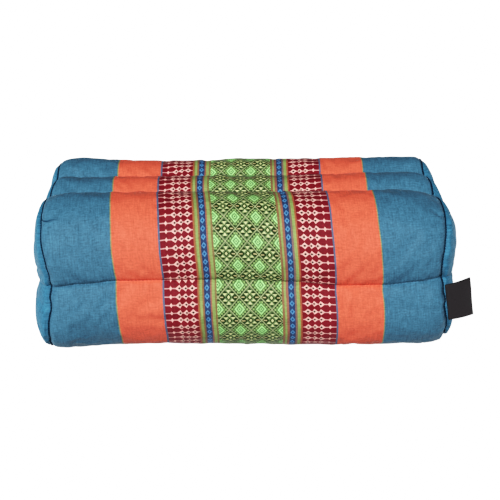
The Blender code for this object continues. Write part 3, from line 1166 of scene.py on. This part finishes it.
def paint_lattice(shader, u, v, cloth):
    """The lattice of green diamonds and cream flowers down the middle of the cloth."""
    half_u, half_v = LATTICE_HALF
    along = (u - LATTICE_MIDDLE[0] - half_u).folded(half_u)
    round_it = (v - LATTICE_MIDDLE[1]).folded(half_v)
    here = (u > LATTICE_EDGES[0]) * (u < LATTICE_EDGES[1])
    for yarn, half_along, half_round in DIAMOND_TABLE:
        mask = in_diamond(along, round_it, half_along, half_round)
        cloth = shader.blend(mask * here, cloth, YARN[yarn])
    outwards = along / half_u + round_it / half_v
    beside = (along / half_u - round_it / half_v) * CHECKS_A_SIDE
    for yarn, low, high, turn in CHECK_TABLE:
        mask = (outwards > low) * (outwards < high) * ((beside + turn).fraction() < CHECK_WIDTH)
        cloth = shader.blend(mask * here, cloth, YARN[yarn])
    cloth = shader.blend((abs(outwards - 1.0) < SAND_LINE) * here, cloth, YARN["sand"])
    along = half_u - along
    round_it = half_v - round_it
    for yarn, place, half_along, half_round in FLOWER_DIAMONDS:
        mask = in_diamond(along - place, round_it, half_along, half_round)
        cloth = shader.blend(mask * here, cloth, YARN[yarn])
    for yarn, *sizes in PETAL_TABLE:
        mask = in_triangle(along, round_it, *sizes)
        cloth = shader.blend(mask * here, cloth, YARN[yarn])
    low, high, half = FLOWER_BAR
    mask = (along > low) * (along < high) * (round_it < half)
    return shader.blend(mask * here, cloth, YARN["blush"])


def paint_pleat_shade(shader, u, v, cloth):
    """A painted dark line of shade along each small pleat nipped into an end seam."""
    for place, height, reach, half, rise, shade in PLEAT_SHADE_TABLE:
        beyond = (1.0 - abs(u - place) / reach).most(0.0)
        off_line = (1.0 - abs(v - height - (u - place) * rise) / half).most(0.0)
        cloth = shader.blend(beyond * off_line * shade, cloth, YARN["painted pleat shade"])
    return cloth


def paint_spears(shader, u, off_row, cloth):
    """Rows of spears on the two dark red bands."""
    inward = SPEAR_EDGE - abs(u - SPEAR_MIDDLE)
    here = (inward > 0.0) * (inward < SPEAR_BAND)
    cloth = shader.blend((off_row < STEM_HALF) * here, cloth, YARN["stem"])
    for yarn, place, outer, inner, half_round in SPEAR_TABLE:
        along = inward - place
        reach = (along / inner).most(along / -outer)
        mask = (reach + off_row / half_round) < 1.0
        cloth = shader.blend(mask * here, cloth, YARN[yarn])
    return cloth


def one_side(mask, wanted):
    """The mask itself where it is wanted (1.0), and its opposite where it isn't (0.0)."""
    return mask * (2.0 * wanted - 1.0) + (1.0 - wanted)


def distance_to_row(u, v):
    """How far a place is round the cloth from the nearest row of spears and rings."""
    outward = abs(u - LATTICE_MIDDLE[0]) - ROW_START
    off_row = 0.0
    for at_right, above, height, tilt, pitch in ROW_TABLE:
        here = one_side(u > 0.0, at_right) * one_side(v > CHANNEL_V, above)
        rows = (v - height + outward * tilt) / pitch
        off_row = here * abs((rows + 0.5).fraction() - 0.5) * pitch + off_row
    return off_row


def make_cover_material():
    shader = Shader("cover cloth")
    u, v = shader.uv()
    edge = u + shader.uneven(u * EDGE_RUN, v, EDGE_NOISE, 1.0, EDGE_WANDER)
    cloth = YARN["petrol"]
    for start, yarn in STRIPE_TABLE:
        cloth = shader.blend(edge > start, cloth, YARN[yarn])
    cloth = paint_lattice(shader, u, v, cloth)
    off_row = distance_to_row(u, v)
    cloth = paint_spears(shader, u, off_row, cloth)
    for yarn, half_along, half_round in RING_TABLE:
        mask = in_diamond(abs(u - RING_MIDDLE) - RING_PLACE, off_row, half_along, half_round)
        cloth = shader.blend(mask, cloth, YARN[yarn])
    plain = abs(u - PLAIN_MIDDLE) > PLAIN_HALF
    tone, height = weave(shader, u, v, COVER_ROUGHNESS + plain * PLAIN_ROUGHNESS)
    cloth = shader.blend(1.0, cloth, tone, "MULTIPLY")
    # Painted shade along the small pleats beside the end seams.
    cloth = paint_pleat_shade(shader, u, v, cloth)
    return finish_cotton(shader, cloth, height, COVER_RELIEF)


def weave(shader, u, v, strength):
    """The cloth's tone, round 1, and the height of its threads."""
    slub = 0.0
    for across, along, swing in WARP_TABLE:
        slub = shader.uneven(u * across, v * along, 1.0, 2.0, swing) + slub
    for across, along, swing in WEFT_TABLE:
        slub = shader.uneven(u * along, v * across, 1.0, 2.0, swing) + slub
    grain = shader.uneven(u, v, *GRAIN)
    mottle = shader.uneven(u, v, *MOTTLE)
    warp, weft = ((place * (2.0 * math.pi / pitch)).sine()
                  for place, pitch in zip((u, v), THREAD_PITCH))
    return (1.0 + (slub + grain) * strength + mottle,
            warp * weft * THREAD_HEIGHT + slub * SLUB_HEIGHT)


def finish_cotton(shader, cloth, height, strength):
    """Plain cotton of that colour, with the relief of its threads."""
    return shader.finish(Base_Color=cloth, Roughness=0.62 - height * 0.1,
                         Normal=shader.bump(height, WEAVE_DEPTH, strength), **COTTON)


def make_panel_material():
    shader = Shader("end panel cloth")
    u, v = shader.uv()
    tone, height = weave(shader, u, v, PANEL_ROUGHNESS)
    cloth = shader.blend(1.0, PANEL_BLUE, tone, "MULTIPLY")
    return finish_cotton(shader, cloth, height, PANEL_RELIEF)


# The label's black tape, with fine ribs across it.
TAPE_BLACK = colour(38, 35, 37)
RIB_PITCH = 0.5
RIB_HEIGHT = 0.4
TAPE_DEPTH = 0.00012
TAPE_RELIEF = 0.5


def make_label_material():
    shader = Shader("label tape")
    u, v = shader.uv()
    ribs = (u * (2.0 * math.pi / RIB_PITCH)).sine() * 0.5 + 0.5
    threads = shader.noise(shader.vector(u * 0.4, v * 2.5), 1.0, 2.0)
    tone = 0.7 + threads * 0.6
    cloth = shader.blend(1.0, TAPE_BLACK, tone, "MULTIPLY")
    normal = shader.bump(ribs * RIB_HEIGHT + threads, TAPE_DEPTH, TAPE_RELIEF)
    return shader.finish(Base_Color=cloth, Roughness=0.6 + (threads - 0.5) * 0.2,
                         Normal=normal, Specular_IOR_Level=0.15)


# The ply of a thread, per metre.
PLY_SCALE = 2200.0


def make_thread_material(name, tone):
    shader = Shader(name)
    place = shader.node("ShaderNodeTexCoord", None, None, "Object")
    ply = shader.noise(place, PLY_SCALE, 1.0)
    cloth = shader.blend(1.0, tone, 0.75 + ply * 0.5, "MULTIPLY")
    return shader.finish(Base_Color=cloth, Roughness=0.8, Specular_IOR_Level=0.1)


THREAD_SIDES = 6
# For each seam: length of a stitch, gap, radius, how far it stands out, and its colour. A
# gap below 0 is an overlap, so that the stitches run together as one cord of thread.
STITCH_COLUMNS = ("name", "length", "gap", "radius", "raised", "tone")
STITCH_TABLE = (
    # The channel thread is real, but its dark grey also paints the shade line in each channel's
    # groove.
    ("channel_thread_and_shade", 2.4, 0.5, 0.13, 0.0, (44, 40, 44)),
    ("left_end_stitches", 2.6, -0.4, 0.7, 0.5, (10, 34, 58)),
    ("right_end_stitches", 2.6, -0.4, 0.95, 0.5, (10, 34, 58)),
)


def stitch_nodes():
    """Geometry Nodes that lay short threads end to end along a curve."""
    group = bpy.data.node_groups.new("stitches along a seam", "GeometryNodeTree")
    face = group.interface
    face.new_socket("Geometry", in_out="INPUT", socket_type="NodeSocketGeometry")
    for label in ("Pitch", "Thread Length", "Thread Radius"):
        face.new_socket(label, in_out="INPUT", socket_type="NodeSocketFloat")
    face.new_socket("Thread", in_out="INPUT", socket_type="NodeSocketMaterial")
    face.new_socket("Geometry", in_out="OUTPUT", socket_type="NodeSocketGeometry")

    def add(kind, settings=None, **inputs):
        """A node with its settings and inputs; its outputs, by name, are what it returns."""
        made = group.nodes.new(kind)
        for key, value in (settings or {}).items():
            setattr(made, key, value)
        for key, value in inputs.items():
            if isinstance(value, bpy.types.NodeSocket):
                group.links.new(value, made.inputs[key])
            else:
                made.inputs[key].default_value = value
        return made.outputs

    given = add("NodeGroupInput")
    spaced = add("GeometryNodeResampleCurve", {"mode": "LENGTH"},
                 Curve=given["Geometry"], Length=given["Pitch"])
    points = add("GeometryNodeCurveToPoints", {"mode": "EVALUATED"}, Curve=spaced["Curve"])
    thread = add("GeometryNodeMeshUVSphere", Segments=THREAD_SIDES, Rings=THREAD_SIDES,
                 Radius=1.0)
    size = add("ShaderNodeCombineXYZ", X=given["Thread Radius"], Y=given["Thread Radius"],
               Z=given["Thread Length"])
    laid = add("GeometryNodeInstanceOnPoints", Points=points["Points"],
               Instance=thread["Mesh"], Rotation=points["Rotation"], Scale=size["Vector"])
    real = add("GeometryNodeRealizeInstances", Geometry=laid["Instances"])
    smooth = add("GeometryNodeSetShadeSmooth", Geometry=real["Geometry"])
    dressed = add("GeometryNodeSetMaterial", Geometry=smooth["Geometry"],
                  Material=given["Thread"])
    add("NodeGroupOutput", Geometry=dressed["Geometry"])
    return group


def add_stitches(name, lines, group, thread, size):
    """One piece of stitches along several lines; a line is (points in mm, closed)."""
    curve = bpy.data.curves.new(name + "_path", "CURVE")
    curve.dimensions = "3D"
    for points, closed in lines:
        spline = curve.splines.new("POLY")
        spline.points.add(len(points) - 1)
        flat = np.column_stack((points * MM, np.ones(len(points))))
        spline.points.foreach_set("co", flat.reshape(-1))
        spline.use_cyclic_u = closed
    path = bpy.data.objects.new(name + "_path", curve)
    bpy.context.scene.collection.objects.link(path)
    modifier = path.modifiers.new("stitches", "NODES")
    modifier.node_group = group
    wanted = {"Pitch": (size["length"] + size["gap"]) * MM,
              "Thread Length": 0.5 * size["length"] * MM,
              "Thread Radius": size["radius"] * MM, "Thread": thread}
    for item in group.interface.items_tree:
        if item.in_out == "INPUT" and item.name in wanted:
            modifier[item.identifier] = wanted[item.name]
    bpy.context.view_layer.update()
    graph = bpy.context.evaluated_depsgraph_get()
    mesh = bpy.data.meshes.new_from_object(path.evaluated_get(graph), depsgraph=graph)
    bpy.data.objects.remove(path, do_unlink=True)
    bpy.data.curves.remove(curve)
    mesh.name = name
    return add_piece(name, mesh)


# The folded label: its size, and how high up its middle is.
TAB_REACH = 21.8
TAB_HEIGHT = 30.0
TAB_HEIGHT_UP = 40.9
# How it stands beside the seam: clear of the panel, outside the seam, turned and lifted.
TAB_CLEAR = 0.35
TAB_THICKNESS = 1.4
TAB_SEAM_STEP = 1.8
TAB_BACKWARD = math.radians(20.0)
TAB_UPWARD = math.radians(9.0)
# How it bows along its length, twists over its height and sags at its lower outer corner.
TAB_BOW = 1.2
TAB_TWIST = 0.5
TAB_TWIST_TURN = 5.0
TAB_SAG = 4.0
TAPE = 0.5
FOLD_RADIUS = 0.45
LAYER_POINTS = 14
FOLD_POINTS = 7
HEIGHT_POINTS = 17


def make_label(rim, side, material):
    """A tape folded at its outer edge, both ends caught in the seam."""
    front = rim[rim[:, 1] < 0.0]
    seam = front[np.argmin(np.abs(front[:, 2] - TAB_HEIGHT_UP))]
    beside = np.abs(front[:, 2] - TAB_HEIGHT_UP) < 0.5 * TAB_HEIGHT
    foremost_y = front[beside, 1].min()
    straight = TAB_REACH - FOLD_RADIUS
    outline = [(x, -FOLD_RADIUS) for x in np.linspace(0.0, straight, LAYER_POINTS)]
    for turn in np.linspace(-0.5 * math.pi, 0.5 * math.pi, FOLD_POINTS)[1:-1]:
        outline.append((straight + FOLD_RADIUS * math.cos(turn), FOLD_RADIUS * math.sin(turn)))
    outline += [(x, FOLD_RADIUS) for x in np.linspace(straight, 0.0, LAYER_POINTS)]
    heights = np.linspace(-0.5, 0.5, HEIGHT_POINTS)
    turn = (Matrix.Rotation(TAB_BACKWARD, 4, "Z") @ Matrix.Rotation(-TAB_UPWARD, 4, "Y"))
    stand_off = TAB_CLEAR + 0.5 * TAB_THICKNESS / math.cos(TAB_BACKWARD)
    place = Vector((seam[0] + side * TAB_SEAM_STEP, foremost_y - stand_off, TAB_HEIGHT_UP))
    points = []
    uvs = []
    travelled = 0.0
    for number, (x, y) in enumerate(outline):
        if number:
            travelled += math.dist(outline[number], outline[number - 1])
        for up in heights:
            along = x / TAB_REACH
            bow = (TAB_BOW * math.sin(math.pi * along)
                   + TAB_TWIST * along * math.sin(TAB_TWIST_TURN * up))
            sag = TAB_SAG * along * min(up, 0.0)
            local = Vector((x, y - bow, up * TAB_HEIGHT + sag))
            points.append(tuple((place + turn @ local) * MM))
            uvs.append((travelled * MM, up * TAB_HEIGHT * MM))
    rows = len(heights)
    faces = [(i * rows + j, (i + 1) * rows + j, (i + 1) * rows + j + 1, i * rows + j + 1)
             for i in range(len(outline) - 1) for j in range(rows - 1)]
    mesh = bpy.data.meshes.new("label")
    mesh.from_pydata(points, [], faces)
    layer = mesh.uv_layers.new(name="cloth")
    flat = [uvs[loop.vertex_index] for loop in mesh.loops]
    layer.data.foreach_set("uv", np.array(flat, np.float32).reshape(-1))
    mesh.shade_smooth()
    label = add_piece("label", mesh, material)
    solid = label.modifiers.new("tape", "SOLIDIFY")
    solid.thickness = TAPE * MM
    solid.offset = 0.0
    return label


# Where the photo was taken from, worked out from the pattern's perspective.
CAMERA_DISTANCE = 1.10245
CAMERA_ELEVATION = math.radians(19.186)
CAMERA_YAW = math.radians(0.739)
CAMERA_ROLL = math.radians(0.426)
CAMERA_TARGET = Vector((0.0, 0.0, 0.062))
CAMERA_LENS = 95.2
SENSOR_WIDTH = 36.0
CAMERA_SHIFT = (0.0161, -0.0082)


def add_camera():
    flat = math.cos(CAMERA_ELEVATION)
    forward = Vector((math.sin(CAMERA_YAW) * flat, math.cos(CAMERA_YAW) * flat,
                      -math.sin(CAMERA_ELEVATION)))
    right = Vector((math.cos(CAMERA_YAW), -math.sin(CAMERA_YAW), 0.0))
    up = right.cross(forward)
    tilted_right = right * math.cos(CAMERA_ROLL) - up * math.sin(CAMERA_ROLL)
    tilted_up = up * math.cos(CAMERA_ROLL) + right * math.sin(CAMERA_ROLL)
    turn = Matrix((tilted_right, tilted_up, -forward)).transposed().to_4x4()
    data = bpy.data.cameras.new("camera")
    data.lens = CAMERA_LENS
    data.sensor_width = SENSOR_WIDTH
    data.shift_x, data.shift_y = CAMERA_SHIFT
    camera = bpy.data.objects.new("camera", data)
    camera.matrix_world = Matrix.Translation(CAMERA_TARGET - forward * CAMERA_DISTANCE) @ turn
    bpy.context.scene.collection.objects.link(camera)
    bpy.context.scene.camera = camera


# A broad light far in front of the cushion, and a near one at its left.
BROAD_LIGHT = {"azimuth": -14.0, "elevation": 28.0, "width": 20.0, "strength": 4.72}
NEAR_LIGHT = {"place": (-0.9, -1.6, 1.2), "size": 1.2, "power": 6.0}
# Low, wide panels of light behind the cushion and beside its ends.
LOW_LIGHT_COLUMNS = ("name", "place", "wide", "high", "power")
LOW_LIGHT_TABLE = (
    ("back light", (0.0, 1.6, 0.12), 1.6, 0.2, 18.0),
    ("left light", (-1.7, 0.3, 0.17), 1.2, 0.3, 13.0),
    ("right light", (1.7, 0.3, 0.17), 1.2, 0.3, 15.0),
)
ROOM_LIGHT = 0.03
WHITE = (1.0, 1.0, 1.0, 1.0)
# The floor glows a little, so that it is shown as pale as the photo's.
FLOOR_GREY = (0.35, 0.35, 0.35, 1.0)
FLOOR_GLOW = 1.5
FLOOR_HALF = 30.0
FLOOR_HEIGHT = -0.0002


def add_lamp(data, place):
    """A lamp at a place, turned towards the cushion."""
    lamp = bpy.data.objects.new(data.name, data)
    lamp.visible_camera = False
    lamp.location = place
    lamp.rotation_euler = (CAMERA_TARGET - lamp.location).to_track_quat("-Z", "Y").to_euler()
    bpy.context.scene.collection.objects.link(lamp)
    return lamp


def add_lights():
    broad = bpy.data.lights.new("broad light", "SUN")
    broad.energy = BROAD_LIGHT["strength"]
    broad.angle = math.radians(BROAD_LIGHT["width"])
    turn = math.radians(BROAD_LIGHT["azimuth"])
    rise = math.radians(BROAD_LIGHT["elevation"])
    add_lamp(broad, CAMERA_TARGET + Vector((math.sin(turn) * math.cos(rise),
                                            -math.cos(turn) * math.cos(rise), math.sin(rise))))
    near = bpy.data.lights.new("near light", "AREA")
    near.size = NEAR_LIGHT["size"]
    near.energy = NEAR_LIGHT["power"]
    add_lamp(near, Vector(NEAR_LIGHT["place"]))
    for row in LOW_LIGHT_TABLE:
        size = dict(zip(LOW_LIGHT_COLUMNS, row))
        low = bpy.data.lights.new(size["name"], "AREA")
        low.shape = "RECTANGLE"
        low.size = size["wide"]
        low.size_y = size["high"]
        low.energy = size["power"]
        add_lamp(low, Vector(size["place"])).visible_glossy = False
    world = bpy.data.worlds.new("room")
    world.use_nodes = True
    room = world.node_tree.nodes["Background"]
    room.inputs["Color"].default_value = WHITE
    room.inputs["Strength"].default_value = ROOM_LIGHT
    bpy.context.scene.world = world


# The curve that moves red, green and blue together.
ALL_COLOURS = 3


def set_tones():
    """A plain view of the scene, with its tones eased near white and near black."""
    view = bpy.context.scene.view_settings
    view.view_transform = "Standard"
    view.use_curve_mapping = True
    mapping = view.curve_mapping
    most = TONE_TABLE[-1][0]
    mapping.white_level = (most, most, most)
    mapping.extend = "HORIZONTAL"
    curve = mapping.curves[ALL_COLOURS]
    for bright, shown in TONE_TABLE[1:-1]:
        curve.points.new(bright / most, shown)
    for point in curve.points:
        point.handle_type = "VECTOR"
    mapping.update()


def add_floor():
    mesh = bpy.data.meshes.new("floor")
    mesh.from_pydata([(FLOOR_HALF * x, FLOOR_HALF * y, FLOOR_HEIGHT)
                      for x, y in ((-1, -1), (1, -1), (1, 1), (-1, 1))], [], [(0, 1, 2, 3)])
    material = Shader("floor").finish(Base_Color=FLOOR_GREY, Roughness=0.9,
                                      Emission_Color=WHITE, Emission_Strength=FLOOR_GLOW)
    floor = add_piece("floor", mesh, material)
    # The pale floor throws no light back on the cushion.
    floor.visible_diffuse = False


# The lowest that a line of stitches runs, so that no thread reaches through the floor.
LINE_LOW = 0.9
# The channel stitches stop this short of the end seams, as places from 0 to 1.
CHANNEL_RUN = (0.004, 0.996)


def raised(line, height):
    """A seam's line, lifted away from the middle of the section."""
    out = (line - np.array((0.0, 0.0, MID_HEIGHT))) * (0.0, 1.0, 1.0)
    out /= np.linalg.norm(out, axis=1, keepdims=True)
    line = line + out * height
    line[:, 2] = np.maximum(line[:, 2], LINE_LOW)
    return line


def seam_lines(rings, places, shares):
    """Lines of points for the stitches: the channels, and both end seams."""
    cover = np.where((places > CHANNEL_RUN[0]) & (places < CHANNEL_RUN[1]))[0]
    channels = [(rings[cover, start], False) for start in lobe_bounds(shares)[:-1]]
    lines = {"channel_thread_and_shade": channels}
    for side, place in (("left", 0.0), ("right", 1.0)):
        rim = rings[int(np.argmin(np.abs(places - place)))]
        lines[side + "_end_stitches"] = [(rim, True)]
    return lines


def main():
    bpy.context.scene.frame_start = 1
    bpy.context.scene.frame_end = SIM_FRAMES
    ends = {side: dict(zip(END_COLUMNS, row)) for side, row in END_TABLE.items()}
    rings, places, shares = build_surface(ends)

    cover_cloth = make_cover_material()
    mesh, _ = grid_mesh("cover", rings, cloth_corners(rings, shares))
    cover = add_piece("cover", mesh, cover_cloth)
    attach(cover, "root")
    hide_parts("cushion_body")

    panel_cloth = make_panel_material()
    for side_name, side in (("left", -1.0), ("right", 1.0)):
        outer, inner = panel_layers(rings, places, side)
        corner_uv = np.stack((outer[:, :, 1:], np.roll(outer[:, :, 1:], -1, axis=1)), axis=2)
        mesh, _ = grid_mesh("panel_" + side_name, outer, corner_uv * MM, inner)
        panel = add_piece("panel_" + side_name, mesh, panel_cloth)
        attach(panel, "root")
        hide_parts("end_panel_" + side_name)

    rim = rings[int(np.argmin(np.abs(places - 1.0)))]
    label = make_label(rim, 1.0, make_label_material())
    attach(label, "root")
    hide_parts("label_tab")

    group = stitch_nodes()
    seams = seam_lines(rings, places, shares)
    for row in STITCH_TABLE:
        size = dict(zip(STITCH_COLUMNS, row))
        name = size["name"]
        thread = make_thread_material(name.replace("_", " "), colour(*size["tone"]))
        lines = [(raised(line, size["raised"]), closed) for line, closed in seams[name]]
        stitches = add_stitches(name, lines, group, thread, size)
        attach(stitches, "root")

    add_floor()
    add_lights()
    add_camera()
    set_tones()


main()
